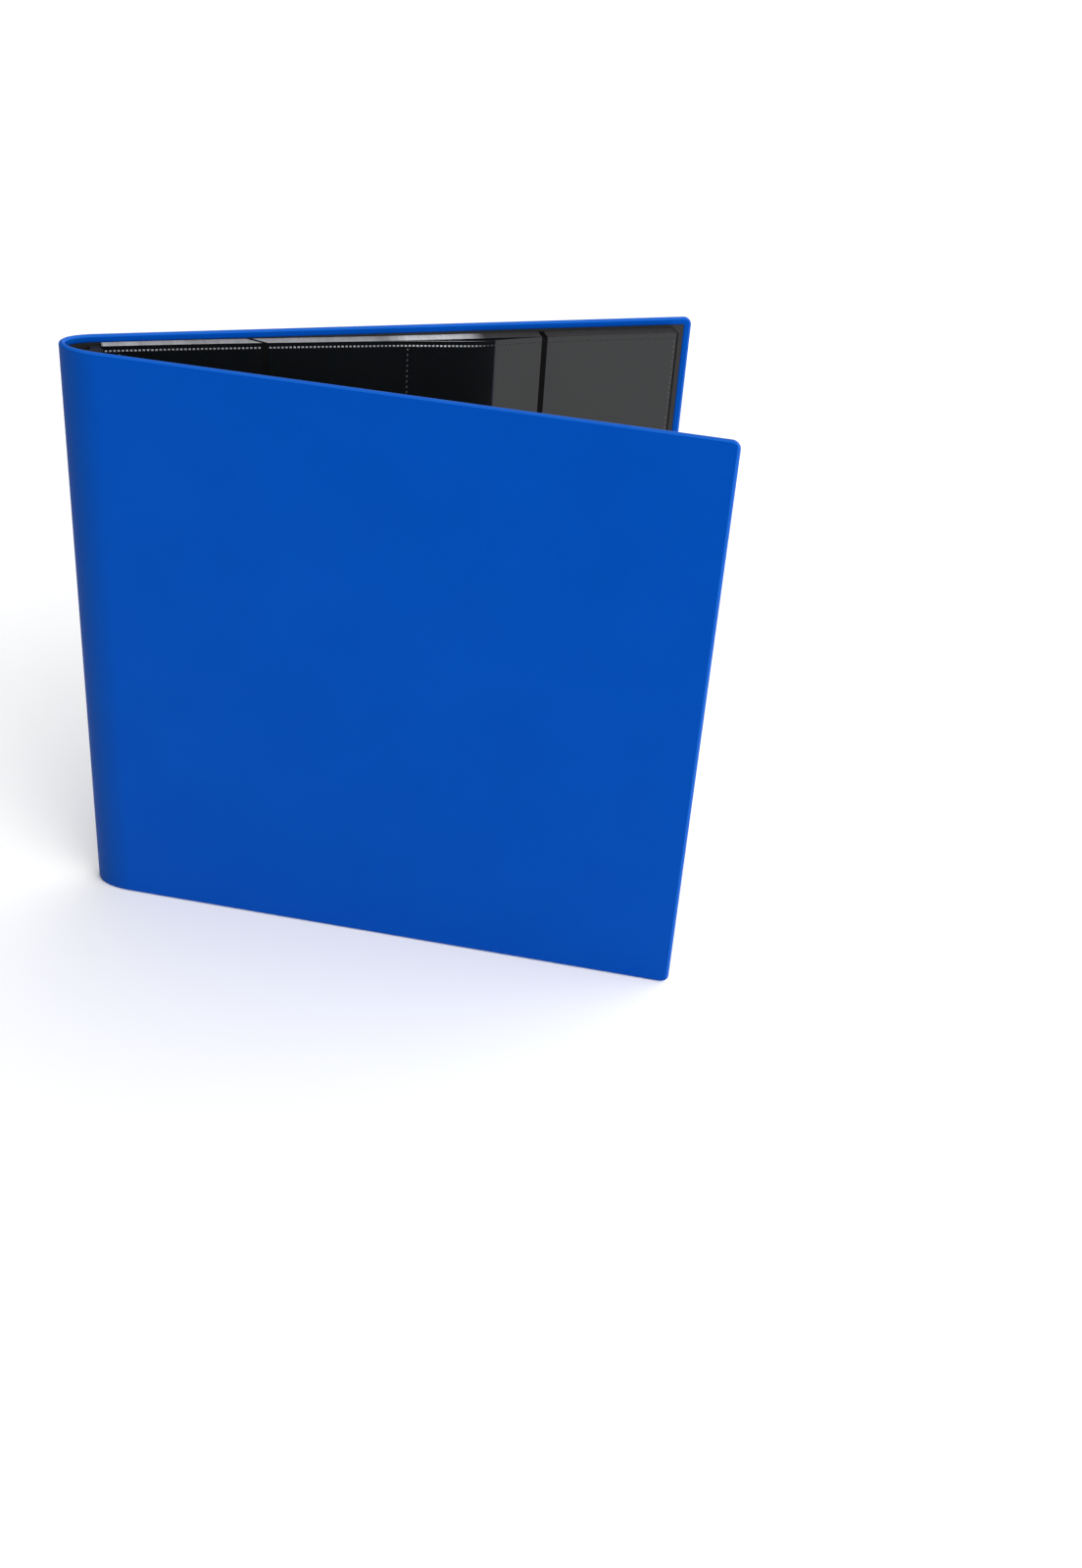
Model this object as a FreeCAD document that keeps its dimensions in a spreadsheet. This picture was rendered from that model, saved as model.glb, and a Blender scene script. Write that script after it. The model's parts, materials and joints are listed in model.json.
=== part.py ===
"""Side-loading trading card binder, standing upright with its front cover part open.

Frame, in millimetres: +Z is up along the spine, +X runs along the back cover from the spine to its fore
edge, and -Y is the front. The origin is at the spine's foot, in the middle of its wall. Each cover turns
about an upright hinge line at one end of the spine's half-round bend.
"""
import FreeCAD, Part
import os
import Sketcher
from FreeCAD import Placement, Rotation, Vector

doc = FreeCAD.newDocument("binder")

# ---------------------------------------------------------------- driving dimensions
DIMENSIONS = {
    # cover
    "cover_height": 315.0,
    "cover_width": 309.0,        # hinge line to fore edge
    "spine_depth": 25.0,         # outer width of the closed spine
    "cover_thick": 3.0,
    "skin_thick": 0.6,
    "lining_thick": 0.4,
    "board_thick": 1.0,
    "turn_in": 3.5,              # border of skin that shows inside the cover
    "corner_radius": 4.5,
    "bonded_margin": 5.0,        # skin welded to lining beside the crease
    "crease_gap": 0.05,          # between a crease's round bead and its cover
    "assembly_play": 0.05,       # round each layer that sits in a pocket
    "opening_angle": 26.0,       # front cover, at rest
    # leaves
    "leaf_margin": 5.0,          # cover's edge to leaf's edge, top and bottom
    "leaf_pitch": 0.26,          # at the binding
    "fan_step": 0.033,           # angle from each leaf to the next, which widens the stack at its fore edge
    "backing_thick": 0.08,
    "film_thick": 0.07,
    "leaf_back_gap": 0.24,       # back cover's lining to the first leaf
    "leaf_start": 14.4,          # hinge line to the leaf's stiff part
    "pocket_pitch": 70.9,
    "pocket_gap": 3.0,           # opening between two pocket films
    "outer_margin": 0.8,         # weld beyond the last pocket
    "gutter_gap": 0.1,
    # binding
    "block_start": 2.0,
    "block_width": 6.0,
    "tape_thick": 0.4,
    "tape_foot_start": 145.0,    # the foot's arc on the spine's lining, in degrees
    "tape_foot_angle": 60.0,
    "thread_size": 0.3,
    "stitch_length": 3.0,
    "stitch_pitch": 4.5,
    # closing strap
    "strap_width": 25.0,
    "strap_thick": 0.9,
    "strap_from_edge": 67.0,     # fore edge to the strap's middle
    "slit_from_edge": 12.0,      # cover's top or bottom edge to the slit
    "slit_from_side": 18.0,
    "slit_length": 115.0,
    "slit_height": 1.2,
    "hem_drop": 3.2,             # slit to its hem stitching
    "fold_height": 6.0,          # straight part of the strap above the slit
    "fold_gap": 0.8,             # between the fold's two legs
    "fold_leg": 10.0,            # folded leg below the slit
    "fold_stand": 0.1,           # strap's first leg off the cover's face
    "channel_side_room": 0.5,    # foam's channel beyond the strap, each side
    "channel_end_room": 2.0,     # foam's channel beyond the slits, each end
    "window_overrun": 1.0,       # a window's cut past the cover's first edge
    "stitch_margin": 10.0,       # leaf's foot to the first binding stitch
    "stitch_end_margin": 30.0,   # cover height without binding stitches
}
LEAVES = 20
NONE = "0"
QUARTER, HALF = "90", "180"     # turns, in degrees
LEAST_CUT = 1.0     # a pocket that takes away less than this volume has missed its body

sheet = doc.addObject("Spreadsheet::Sheet", "Dimensions")
for row, (alias, value) in enumerate(DIMENSIONS.items(), start=1):
    sheet.set(f"A{row}", alias)
    sheet.set(f"B{row}", str(value))
    sheet.setAlias(f"B{row}", alias)
doc.recompute()


class Cell(str):
    """A spreadsheet formula in text, which adds, subtracts and scales as numbers do."""

    def __add__(self, other):
        return Cell(f"({str(self)} + {str(other)})")

    def __sub__(self, other):
        return Cell(f"({str(self)} - {str(other)})")

    def __mul__(self, factor):
        return Cell(f"({str(self)} * {factor})")

    def __truediv__(self, factor):
        return Cell(f"({str(self)} / {factor})")

    def __neg__(self):
        return Cell(f"(-1 * {str(self)})")


def cell(alias):
    return Cell(f"Dimensions.{alias}")


height = cell("cover_height")
width = cell("cover_width")
thick = cell("cover_thick")
skin = cell("skin_thick")
lining = cell("lining_thick")
board = cell("board_thick")
foam = thick - skin - lining - board
turn_in = cell("turn_in")
spine_radius = cell("spine_depth") / 2
hinge_reach = spine_radius - thick / 2          # hinge line from the spine's middle plane and the origin
panel_start = thick / 2 + cell("crease_gap")    # cover's first edge, from its hinge line
filling_start = panel_start + cell("bonded_margin")
play = cell("assembly_play")
strap_x = width - cell("strap_from_edge") - cell("strap_width") / 2
leaf_bottom = cell("leaf_margin")
leaf_height = height - leaf_bottom * 2
leaf_thick = cell("backing_thick") + cell("film_thick") * 2
leaf_length = cell("pocket_pitch") * 4 + cell("outer_margin")
leaf_one_y = spine_radius - thick - cell("leaf_back_gap") - leaf_thick / 2
stack_front = leaf_one_y - cell("leaf_pitch") * (LEAVES - 1) - leaf_thick / 2
stack_back = leaf_one_y + leaf_thick / 2


# ---------------------------------------------------------------- helpers
def bind(obj, **formulas):
    """Tie properties to the sheet. A double underscore in a keyword stands for a dot."""
    for name, formula in formulas.items():
        obj.setExpression(name.replace("__", "."), str(formula))
    return obj


def place(obj, x="0", y="0", z="0"):
    return bind(obj, Placement__Base__x=x, Placement__Base__y=y, Placement__Base__z=z)


def box(name, x, y, z, length, depth, tall):
    """A block from its lowest corner and its sizes along X, Y and Z."""
    block = doc.addObject("Part::Box", name)
    bind(block, Length=length, Width=depth, Height=tall)
    return place(block, x, y, z)


def sector(name, outer, inner, z, tall, start, sweep):
    """A ring about the local Z axis, from angle start through angle sweep, in degrees."""
    disc = doc.addObject("Part::Cylinder", f"{name}_disc")
    bind(disc, Radius=outer, Height=tall, Angle=sweep)
    core = doc.addObject("Part::Cylinder", f"{name}_core")
    bind(core, Radius=inner, Height=tall, Angle=sweep)
    for part in (disc, core):
        bind(part, Placement__Rotation__Angle=start)
        part.Placement.Rotation = Rotation(Vector(0, 0, 1), 1)
        place(part, z=z)
    return cut(name, disc, core)


def cut(name, base, tool):
    result = doc.addObject("Part::Cut", name)
    result.Base, result.Tool = base, tool
    return result


def fuse(name, shapes):
    result = doc.addObject("Part::MultiFuse", name)
    result.Shapes = shapes
    return result


def group(name, shapes):
    result = doc.addObject("Part::Compound", name)
    result.Links = shapes
    return result


def plane_sketch(body, role, name, offset):
    """A sketch on one of the body's own origin planes, moved along the plane's normal by a formula."""
    plane = next(f for f in body.Origin.OriginFeatures if f.Role == role)
    sketch = body.newObject("Sketcher::SketchObject", name)
    sketch.AttachmentSupport = [(plane, "")]
    sketch.MapMode = "FlatFace"
    bind(sketch, AttachmentOffset__Base__z=offset)
    return sketch


def rectangle(sketch, left, bottom, right, top, radius=None):
    """A rectangle held by the distances of its sides from the sketch's origin, with its right corners
    rounded if a radius is given. It is first drawn at any size, and the constraints then set it. A side with
    no distance lies on the horizontal axis."""
    corners = [Vector(10, 10, 0), Vector(90, 10, 0), Vector(90, 90, 0), Vector(10, 90, 0)]
    lines = []
    for start, end in zip(corners, corners[1:] + corners[:1]):
        lines.append(sketch.addGeometry(Part.LineSegment(start, end), False))
    low, far, high, near = lines
    for first, second in ((low, far), (far, high), (high, near), (near, low)):
        sketch.addConstraint(Sketcher.Constraint("Coincident", first, 2, second, 1))
    directions = ((low, "Horizontal"), (high, "Horizontal"), (far, "Vertical"), (near, "Vertical"))
    for line, direction in directions:
        sketch.addConstraint(Sketcher.Constraint(direction, line))
    if radius:
        size = DIMENSIONS["corner_radius"]
        sketch.fillet(low, 2, size, True, False)
        sketch.fillet(far, 2, size, True, False)
        for curve, arc in enumerate(sketch.Geometry):
            if isinstance(arc, Part.ArcOfCircle):
                number = sketch.addConstraint(Sketcher.Constraint("Radius", curve, size))
                sketch.setExpression(f"Constraints[{number}]", str(radius))
    sides = (
        ("DistanceX", near, left),
        ("DistanceY", low, bottom),
        ("DistanceX", far, right),
        ("DistanceY", high, top),
    )
    for direction, line, formula in sides:
        if formula is None:
            sketch.addConstraint(Sketcher.Constraint("PointOnObject", line, 1, -1))
            continue
        number = sketch.addConstraint(Sketcher.Constraint(direction, -1, 1, line, 1, 50.0))
        sketch.setExpression(f"Constraints[{number}]", str(formula))


def extrude(body, kind, sketch, length, reverse=False):
    feature = body.newObject(kind, f"{sketch.Name}_{kind.split('::')[1].lower()}")
    feature.Profile = sketch
    feature.Reversed = reverse
    bind(feature, Length=length)
    sketch.Visibility = False
    return feature


def pocket(body, sketch, length, reverse):
    """Pocket the body and make sure that the pocket took material away."""
    doc.recompute()
    before = body.Shape.Volume
    extrude(body, "PartDesign::Pocket", sketch, length, reverse)
    doc.recompute()
    if body.Shape.Volume > before - LEAST_CUT:
        raise ValueError(f"{sketch.Name} cuts nothing from {body.Name}")


pieces = {}     # node name to object


def node(name, obj):
    obj.Label = name
    pieces[name] = obj
    return obj


# ---------------------------------------------------------------- covers
# A cover is drawn about its own hinge line, along local X. Its outer face is at -Y in front and +Y at the
# back, so "side" is -1 for the front cover and +1 for the back cover.
def toward(side, formula):
    return formula if side > 0 else -formula


def layer(name, side, depth, size, left, margin, radius):
    """A flat layer in a cover, from depth under its outer face, with rounded corners at the fore edge."""
    body = doc.addObject("PartDesign::Body", name)
    outer = thick / 2 - depth
    outline = plane_sketch(body, "XZ_Plane", f"{name}_outline", -outer if side > 0 else outer - size)
    rectangle(outline, left, margin, width - margin, height - margin, radius)
    extrude(body, "PartDesign::Pad", outline, size)
    return body


def cover_skin(name, side):
    body = doc.addObject("PartDesign::Body", name)
    # the XZ plane's normal is -Y, so a feature runs outwards in front and inwards at the back
    outline = plane_sketch(body, "XZ_Plane", f"{name}_outline", -(thick / 2))
    rectangle(outline, panel_start, None, width, height, cell("corner_radius"))
    extrude(body, "PartDesign::Pad", outline, thick)
    inner_face = thick / 2 if side > 0 else -(thick / 2)
    window = plane_sketch(body, "XZ_Plane", f"{name}_window", inner_face)
    rectangle(window, panel_start - cell("window_overrun"), turn_in, width - turn_in, height - turn_in)
    pocket(body, window, lining, side < 0)
    under_lining = thick / 2 - lining
    cavity_face = under_lining if side > 0 else -under_lining
    cavity = plane_sketch(body, "XZ_Plane", f"{name}_cavity", cavity_face)
    rectangle(cavity, filling_start, skin, width - skin, height - skin, cell("corner_radius") - skin)
    pocket(body, cavity, foam + board, side < 0)
    return body


def cover(prefix, side):
    outer_skin = cover_skin(f"{prefix}_cover_skin", side)
    edge = skin + play
    rounding = cell("corner_radius") - edge
    start = filling_start + play
    padding = layer(f"{prefix}_cover_foam", side, skin, foam, start, edge, rounding)
    stiffener = layer(f"{prefix}_cover_board", side, skin + foam, board, start, edge, rounding)
    lining_depth = thick - lining
    inside = layer(f"{prefix}_cover_lining", side, lining_depth, lining, panel_start, turn_in + play, None)
    return outer_skin, padding, stiffener, inside


def stand(obj, side):
    """Put a cover's piece on its hinge line. Only the front cover is open at rest."""
    if side < 0:
        obj.Placement.Rotation = Rotation(Vector(0, 0, 1), -1)
        bind(obj, Placement__Rotation__Angle=-cell("opening_angle"))
    return place(obj, hinge_reach, toward(side, hinge_reach))


for piece, name in zip(cover("front", -1), ("skin", "foam", "board", "lining")):
    node(f"front_cover_{name}", stand(piece, -1))

back_skin, back_foam, back_board, back_lining = cover("back", 1)

# long slits through the back cover's skin, near its top and bottom edges
slit_left = width - cell("slit_from_side") - cell("slit_length")
slit_right = width - cell("slit_from_side")
lower_slit = cell("slit_from_edge")
upper_slit = height - cell("slit_from_edge")
for name, level in (("lower_slit", lower_slit), ("upper_slit", upper_slit)):
    slit = plane_sketch(back_skin, "XZ_Plane", name, -(thick / 2))
    low = level - cell("slit_height") / 2
    rectangle(slit, slit_left, low, slit_right, low + cell("slit_height"))
    pocket(back_skin, slit, skin, True)
side_room = cell("channel_side_room")
end_room = cell("channel_end_room")
channel = box(
    "strap_channel",
    strap_x - side_room,
    thick / 2 - skin - foam,
    lower_slit - end_room,
    cell("strap_width") + side_room * 2,
    foam,
    upper_slit - lower_slit + end_room * 2,
)
node("back_cover_skin", stand(back_skin, 1))
node("back_cover_foam", stand(cut("padding_with_channel", back_foam, channel), 1))
node("back_cover_board", stand(back_board, 1))
node("back_cover_lining", stand(back_lining, 1))


# ---------------------------------------------------------------- spine
# Half rings about the spine's upright middle line, on its -X side.
half_turn = (QUARTER, HALF)
pad_angles = ("95", "170")      # where the spine's foam starts, and how far round it goes
inside = spine_radius - thick
inner = inside + lining
border = turn_in + play
pad_height = height - skin * 2
whole = sector("spine_whole", spine_radius, inside, NONE, height, *half_turn)
window = sector("spine_window", inner, inside, turn_in, height - turn_in * 2, *half_turn)
hollow = sector("spine_hollow", spine_radius - skin, inner, skin, pad_height, *pad_angles)
padding = sector("spine_padding", spine_radius - skin, inner, skin, pad_height, *pad_angles)
lining_ring = sector("spine_inside", inner, inside, border, height - border * 2, *half_turn)
node("spine_skin", place(cut("spine_shell", cut("spine_with_window", whole, window), hollow), hinge_reach))
node("spine_foam", place(padding, hinge_reach))
node("spine_lining", place(lining_ring, hinge_reach))

for name, side in (("front_crease", -1), ("back_crease", 1)):
    bead = doc.addObject("Part::Cylinder", f"{name}_bead")
    bind(bead, Radius=thick / 2, Height=height, Angle=HALF)
    bead.Placement.Rotation = Rotation(Vector(0, 0, 1), -90)
    node(name, place(bead, hinge_reach, toward(side, hinge_reach)))


# ---------------------------------------------------------------- leaves
# Every leaf is a black backing with six strips of clear film: on each face an inner strip, a middle strip
# that spans two pocket columns, and an outer strip. Neighbouring strips leave a pocket opening between them.
# A leaf is drawn about the upright line that all the leaves turn about, in the middle of the binding.
block_left = hinge_reach + cell("block_start")
block_right = block_left + cell("block_width")
leaf_axis_y = (stack_front + stack_back) / 2
near = hinge_reach + cell("leaf_start") - block_right
far = near + leaf_length
pitch = cell("pocket_pitch")
half_gap = cell("pocket_gap") / 2
backing = cell("backing_thick")
film = cell("film_thick")
strips = {
    "inner": (near, near + pitch - half_gap),
    "middle": (near + pitch + half_gap, near + pitch * 3 - half_gap),
    "outer": (near + pitch * 3 + half_gap, far),
}


def leaf_layers(number):
    """The seven sheets of one leaf. Leaf 1 is next to the back cover."""
    name = f"leaf_{number:02d}"
    offset = leaf_one_y - cell("leaf_pitch") * (number - 1) - leaf_axis_y
    rear = offset + backing / 2
    front = offset - backing / 2
    yield box(f"{name}_backing", near, front, leaf_bottom, leaf_length, backing, leaf_height)
    for strip, (left, right) in strips.items():
        yield box(f"{name}_rear_{strip}", left, rear, leaf_bottom, right - left, film, leaf_height)
        yield box(f"{name}_front_{strip}", left, front - film, leaf_bottom, right - left, film, leaf_height)


for number in range(1, LEAVES + 1):
    leaf = group(f"leaf_{number:02d}", list(leaf_layers(number)))
    leaf.Placement.Rotation = Rotation(Vector(0, 0, 1), -1)
    bind(leaf, Placement__Rotation__Angle=-(cell("fan_step") * (number - 1)))
    node(f"leaf_{number:02d}", place(leaf, block_right, leaf_axis_y))


# ---------------------------------------------------------------- binding
block = box(
    "block", block_left, stack_front, leaf_bottom, cell("block_width"), stack_back - stack_front, leaf_height
)
node("binding_block", block)

gutters = []
for number in range(1, LEAVES + 1):
    strip_y = leaf_one_y - cell("leaf_pitch") * (number - 1) - leaf_thick / 2
    strip_length = near - cell("gutter_gap")
    gutters.append(
        box(f"gutter_{number:02d}", block_right, strip_y, leaf_bottom, strip_length, leaf_thick, leaf_height)
    )
node("page_gutters", group("gutter_strips", gutters))

tape = cell("tape_thick")
lining_face = spine_radius - thick
foot_angles = (cell("tape_foot_start"), cell("tape_foot_angle"))
foot = sector("tape_foot", lining_face, lining_face - tape, leaf_bottom, leaf_height, *foot_angles)
foot_middle = lining_face - tape / 2
tape_left = hinge_reach - Cell(f"sqrt(({foot_middle})^2 - ({stack_front})^2)")
web = box("tape_web", tape_left, stack_front - tape, leaf_bottom, block_right - tape_left, tape, leaf_height)
node("binding_tape", fuse("tape_pieces", [place(foot, hinge_reach), web]))


def stitches(name, count, x, y, z, along_x, pitch_x, pitch_z):
    """A row of short straight threads, each a solid of its own."""
    threads = []
    size = cell("thread_size")
    long_side, short_side = cell("stitch_length"), size
    for index in range(count):
        length, tall = (long_side, short_side) if along_x else (short_side, long_side)
        threads.append(
            box(f"{name}_{index:02d}", x + pitch_x * index, y, z + pitch_z * index, length, size, tall)
        )
    return group(name, threads)


none = Cell(NONE)
stitch_pitch = cell("stitch_pitch")
stitched_height = DIMENSIONS["cover_height"] - DIMENSIONS["stitch_end_margin"]
binding_count = int(stitched_height / DIMENSIONS["stitch_pitch"])
binding_row = stitches(
    "binding_threads",
    binding_count,
    block_left + cell("block_width") / 2,
    stack_front - tape - cell("thread_size"),
    leaf_bottom + cell("stitch_margin"),
    False,
    none,
    stitch_pitch,
)
node("binding_stitches", binding_row)


# ---------------------------------------------------------------- closing strap
# Outside the back cover, with its ends folded over the slits. The loop closes inside the cover's foam.
outer_face = hinge_reach + thick / 2
strap = cell("strap_thick")
strap_left = hinge_reach + strap_x
strap_width = cell("strap_width")
inner_leg = outer_face + cell("fold_stand")
outer_leg = inner_leg + strap + cell("fold_gap")
channel_y = outer_face - skin - foam + play
run_low = lower_slit + cell("fold_leg")
run_high = upper_slit - cell("fold_leg")

run_length = run_high - run_low
node("elastic_strap", box("strap_run", strap_left, outer_leg, run_low, strap_width, strap, run_length))
node(
    "strap_inner_run",
    box(
        "strap_inside",
        strap_left,
        channel_y,
        lower_slit + strap / 2,
        strap_width,
        strap,
        upper_slit - lower_slit - strap,
    ),
)


def strap_end(name, slit_level, up):
    """The strap's passage through a slit, a straight leg, the fold and the leg that comes back. up is 1 at
    the top slit and -1 at the bottom one."""
    reach = inner_leg + strap - channel_y
    passage_low = slit_level - strap / 2
    passage = box(f"{name}_passage", strap_left, channel_y, passage_low, strap_width, reach, strap)
    rise = cell("fold_height")
    fold_level = slit_level + rise if up > 0 else slit_level - rise
    leg_low = slit_level if up > 0 else fold_level
    inner_part = box(f"{name}_inner_leg", strap_left, inner_leg, leg_low, strap_width, strap, rise)
    back_low = run_high if up > 0 else fold_level
    back_length = rise + cell("fold_leg")
    outer_part = box(f"{name}_outer_leg", strap_left, outer_leg, back_low, strap_width, strap, back_length)
    inner_radius = cell("fold_gap") / 2
    fold_radius = inner_radius + strap
    start = NONE if up > 0 else HALF
    fold = sector(f"{name}_fold", fold_radius, inner_radius, NONE, strap_width, start, HALF)
    holder = group(f"{name}_turned", [fold])
    holder.Placement.Rotation = Rotation(Vector(1, 1, 1), 120)
    place(holder, strap_left, inner_leg + fold_radius, fold_level)
    return fuse(name, [passage, inner_part, outer_part, holder])


node("strap_upper_end", strap_end("upper_end", upper_slit, 1))
node("strap_lower_end", strap_end("lower_end", lower_slit, -1))

hem_count = int(DIMENSIONS["slit_length"] / DIMENSIONS["stitch_pitch"])
hem_left = hinge_reach + slit_left + (stitch_pitch - cell("stitch_length")) / 2
for name, level in (
    ("upper_hem_stitches", upper_slit - cell("hem_drop")),
    ("lower_hem_stitches", lower_slit + cell("hem_drop")),
):
    node(name, stitches(f"{name}_row", hem_count, hem_left, outer_face, level, True, stitch_pitch, none))


# ---------------------------------------------------------------- test and write
doc.recompute()
for obj in doc.Objects:
    if "Invalid" in obj.State or "Error" in obj.State:
        raise ValueError(f"{obj.Name} ({obj.Label}) is {obj.State}")
for name, obj in pieces.items():
    if obj.Shape.isNull() or not obj.Shape.isValid() or not obj.Shape.Solids:
        raise ValueError(f"{name} has no valid solid")

os.makedirs("parts", exist_ok=True)
for name, obj in pieces.items():
    obj.Shape.exportStep(f"parts/{name}.step")
print(f"{len(pieces)} nodes written")
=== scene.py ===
"""Looks of the trading card binder: a padded leatherette cover, twenty pocket leaves and an elastic strap.

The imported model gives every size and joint. Lengths here are metres, and MM turns millimetres into metres. A
distance along a cover starts at its fore edge, and a distance along a leaf starts at the binding.
"""
import json
import math

import bmesh
import bpy
import numpy as np
from mathutils import Matrix, Vector


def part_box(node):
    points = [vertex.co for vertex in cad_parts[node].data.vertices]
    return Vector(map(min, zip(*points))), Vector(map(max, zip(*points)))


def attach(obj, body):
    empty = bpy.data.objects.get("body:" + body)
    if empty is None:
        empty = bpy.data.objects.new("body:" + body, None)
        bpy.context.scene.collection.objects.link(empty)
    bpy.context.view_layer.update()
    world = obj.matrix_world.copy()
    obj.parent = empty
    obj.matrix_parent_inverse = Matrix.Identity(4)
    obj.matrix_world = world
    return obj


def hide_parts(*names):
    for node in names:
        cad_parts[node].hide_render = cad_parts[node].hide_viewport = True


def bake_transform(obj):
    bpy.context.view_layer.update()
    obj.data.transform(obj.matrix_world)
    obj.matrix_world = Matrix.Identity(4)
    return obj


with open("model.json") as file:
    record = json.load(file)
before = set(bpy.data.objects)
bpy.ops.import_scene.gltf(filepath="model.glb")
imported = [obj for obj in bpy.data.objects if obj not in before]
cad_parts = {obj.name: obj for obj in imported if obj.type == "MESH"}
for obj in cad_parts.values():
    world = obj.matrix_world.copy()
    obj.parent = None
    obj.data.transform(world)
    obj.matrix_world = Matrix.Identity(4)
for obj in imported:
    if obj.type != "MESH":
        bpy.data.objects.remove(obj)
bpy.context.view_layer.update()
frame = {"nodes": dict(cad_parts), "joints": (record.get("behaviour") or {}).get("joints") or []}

MM = 0.001

# ---------------------------------------------------------------- sizes from the frame
JOINTS = {joint["name"]: joint for joint in frame["joints"]}
LEAVES = sum(name.startswith("leaf_") for name in frame["nodes"])
skin_low, skin_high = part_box("back_cover_skin")
HEIGHT = skin_high.z
HALF = (skin_high.y - skin_low.y) / 2     # half the thickness of a cover
front_axis = np.array(JOINTS["front_hinge"]["pos_m"][:2])
back_axis = np.array(JOINTS["back_hinge"]["pos_m"][:2])
OPENING = math.radians(-JOINTS["front_hinge"]["range_deg"][0])
COVER_WIDTH = skin_high.x - back_axis[0]
front_way = np.array([math.cos(OPENING), -math.sin(OPENING)])
back_way = np.array([1.0, 0.0])
TURN_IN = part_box("back_cover_lining")[0].z     # width of the border at the top and bottom of a cover's inside
strap_low, strap_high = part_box("elastic_strap")
hem_low, hem_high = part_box("upper_hem_stitches")

CORNER_RADIUS = 4.5 * MM
SIDE_TURN_IN = 4.2 * MM      # width of the border at the fore edge
LINING_SUNK = 0.14 * MM      # how deep the lining's face lies below the border
WINDOW_DEPTH = 0.34 * MM     # how deep the cover is cut away behind the lining

# ---------------------------------------------------------------- mesh helpers
SHARP_ANGLE = math.radians(75)     # edges that turn more than this are shaded as sharp


def new_mesh(name, points, faces, smooth=True, uvs=None):
    """An object from points and faces. uvs is one (u, v) for each point."""
    mesh = bpy.data.meshes.new(name)
    mesh.from_pydata([tuple(map(float, p)) for p in points], [], faces)
    if uvs is not None:
        layer = mesh.uv_layers.new(name="UVMap")
        for loop in mesh.loops:
            layer.data[loop.index].uv = uvs[loop.vertex_index]
    for polygon in mesh.polygons:
        polygon.use_smooth = smooth
    edit = bmesh.new()
    edit.from_mesh(mesh)
    bmesh.ops.recalc_face_normals(edit, faces=edit.faces)
    for edge in edit.edges:
        edge.smooth = edge.calc_face_angle(0.0) < SHARP_ANGLE
    edit.to_mesh(mesh)
    edit.free()
    obj = bpy.data.objects.new(name, mesh)
    bpy.context.scene.collection.objects.link(obj)
    return obj


def loft(name, sections, uvs):
    """A closed surface through sections, which are equally long rings of points, with flat ends."""
    count = len(sections[0])
    points = [p for section in sections for p in section]
    flat_uvs = [uv for row in uvs for uv in row]
    faces = []
    for i in range(len(sections) - 1):
        for j in range(count):
            k = (j + 1) % count
            faces.append((i * count + j, i * count + k, (i + 1) * count + k, (i + 1) * count + j))
    last = (len(sections) - 1) * count
    faces.append(tuple(range(count)))
    faces.append(tuple(last + j for j in reversed(range(count))))
    obj = new_mesh(name, points, faces, uvs=flat_uvs)
    for polygon in list(obj.data.polygons)[-2:]:
        polygon.use_smooth = False
    return obj


def finish_piece(obj, materials):
    """Gives the piece its materials, in the order that its faces number them."""
    obj.data.materials.clear()
    for material in materials:
        obj.data.materials.append(material)
    return obj


def smooth_line(points, steps):
    """Points along a smooth Catmull-Rom line through the given ones, with steps points for each of them."""
    result = []
    padded = [points[0]] + list(points) + [points[-1]]
    for a, b, c, d in zip(padded, padded[1:], padded[2:], padded[3:]):
        a, b, c, d = (np.array(p, float) for p in (a, b, c, d))
        for i in range(steps):
            t = i / steps
            square, cube = 2 * a - 5 * b + 4 * c - d, 3 * b - a - 3 * c + d
            result.append(0.5 * (2 * b + (c - a) * t + square * t**2 + cube * t**3))
    result.append(np.array(points[-1], float))
    return result


def spaced(start, stop, step):
    """Evenly spaced values from start to stop, both included, no further apart than step."""
    count = max(1, math.ceil(abs(stop - start) / step))
    return [start + (stop - start) * i / count for i in range(count + 1)]


def ease(value, low, high):
    """0 below low, 1 above high, and smooth between them."""
    t = min(1.0, max(0.0, (value - low) / (high - low)))
    return t * t * (3 - 2 * t)


# ---------------------------------------------------------------- materials
def surface(name, base, roughness, specular=0.5):
    """A new material, its node tree and its shader."""
    material = bpy.data.materials.new(name)
    material.use_nodes = True
    tree = material.node_tree
    shader = tree.nodes["Principled BSDF"]
    shader.inputs["Base Color"].default_value = (*base, 1)
    shader.inputs["Roughness"].default_value = roughness
    shader.inputs["Specular IOR Level"].default_value = specular
    return material, tree, shader


def add(tree, kind, **inputs):
    """A new node. An underscore in an input's name stands for a space."""
    node = tree.nodes.new(kind)
    for name, value in inputs.items():
        node.inputs[name.replace("_", " ")].default_value = value
    return node


def coordinates(tree):
    """The piece's own UV map, in metres along its surface."""
    source = tree.nodes.new("ShaderNodeUVMap")
    source.uv_map = "UVMap"
    return source.outputs["UV"]


def along_piece(tree, uv):
    """The first of the two UV coordinates: the distance along the piece."""
    parts = tree.nodes.new("ShaderNodeSeparateXYZ")
    tree.links.new(uv, parts.inputs["Vector"])
    return parts.outputs["X"]


def noise(tree, vector, scale, detail=3.0, rough=0.5):
    """Soft noise from 0 to 1. scale is the number of its waves in a metre."""
    node = add(tree, "ShaderNodeTexNoise", Scale=scale, Detail=detail, Roughness=rough)
    tree.links.new(vector, node.inputs["Vector"])
    return node.outputs["Fac"]


def spread(tree, value, low, high, start=0.0, stop=1.0):
    """A value between start and stop, mapped to low to high."""
    node = add(tree, "ShaderNodeMapRange", From_Min=start, From_Max=stop, To_Min=low, To_Max=high)
    tree.links.new(value, node.inputs["Value"])
    return node.outputs["Result"]


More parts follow.
